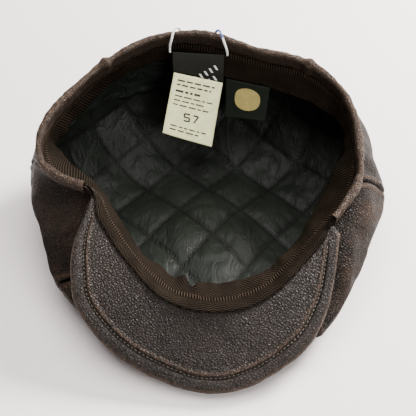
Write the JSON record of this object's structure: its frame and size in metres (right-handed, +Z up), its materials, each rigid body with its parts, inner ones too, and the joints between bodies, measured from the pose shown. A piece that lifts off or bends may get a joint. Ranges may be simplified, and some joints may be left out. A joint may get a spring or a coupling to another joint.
{
  "type": "newsboy cap",
  "caption": "Leather newsboy cap with a panelled crown, quilted lining, ribbon sweatband and a stitched visor, lying on its crown.",
  "frame": {"origin": "on the surface the cap lies on, under the middle of the cap's width and length as it lies on its crown", "axes": "+Z up out of the open side, because the cap lies on its crown; -Y towards the visor; +X to the right when looking at the visor from the front. Turn it over about X to wear it."},
  "size_m": [0.2254, 0.233, 0.1143],
  "materials": {
    "brown_leather": "distressed pebbled leather, rubbed lighter on the edges",
    "visor_leather": "distressed pebbled leather",
    "rim_leather": "worn turned-over leather edge with twin stitching",
    "quilted_satin": "dark green-black satin quilted in diamonds",
    "lining_side_satin": "dark green-black satin, wrinkled",
    "wadding": "white fibre wadding",
    "herringbone_ribbon": "taupe herringbone ribbon",
    "visor_board": "flexible plastic board",
    "button_metal": "plain pressed metal",
    "black_label": "black satin tape",
    "care_label": "cream satin tape with dark print",
    "tab_satin": "dark green satin tab with a gold print",
    "string_cotton": "white twisted cotton string"
  },
  "bodies": {
    "cap": {"panel_front_left": "brown_leather", "panel_front_right": "brown_leather", "panel_side_front_left": "brown_leather", "panel_side_front_right": "brown_leather", "panel_side_back_left": "brown_leather", "panel_side_back_right": "brown_leather", "panel_back_left": "brown_leather", "panel_back_right": "brown_leather", "rim_binding": "rim_leather", "sweatband": "herringbone_ribbon", "lining_side": "lining_side_satin", "lining_top": "quilted_satin", "wadding_side": "wadding", "wadding_top": "wadding", "button_cover": "brown_leather", "button_core": "button_metal", "button_washer": "button_metal", "ticket_string": "string_cotton"},
    "visor": {"visor_underside": "visor_leather", "visor_top": "visor_leather", "visor_board": "visor_board"},
    "brand_label": {"brand_label": "black_label"},
    "care_label": {"care_label": "care_label"},
    "leather_tab": {"leather_tab": "tab_satin"}
  },
  "joints": [
    {"name": "visor_flex", "type": "hinge", "parent": "cap", "child": "visor", "pos_m": [0.00421, -0.01801, 0.061], "axis": [-0.9952, 0.0886, 0.0409], "range_deg": [0, 10]},
    {"name": "brand_label_flap", "type": "hinge", "parent": "cap", "child": "brand_label", "pos_m": [-0.00504, 0.08399, 0.0968], "axis": [0.9979, -0.0536, -0.0358], "range_deg": [-70, 0]},
    {"name": "care_label_flap", "type": "hinge", "parent": "brand_label", "child": "care_label", "pos_m": [-0.00499, 0.08028, 0.08], "axis": [0.9691, -0.0245, -0.2454], "range_deg": [-60, 10]},
    {"name": "leather_tab_flap", "type": "hinge", "parent": "cap", "child": "leather_tab", "pos_m": [0.02701, 0.07759, 0.0775], "axis": [0.9687, -0.2388, -0.0682], "range_deg": [-80, 0]}
  ]
}
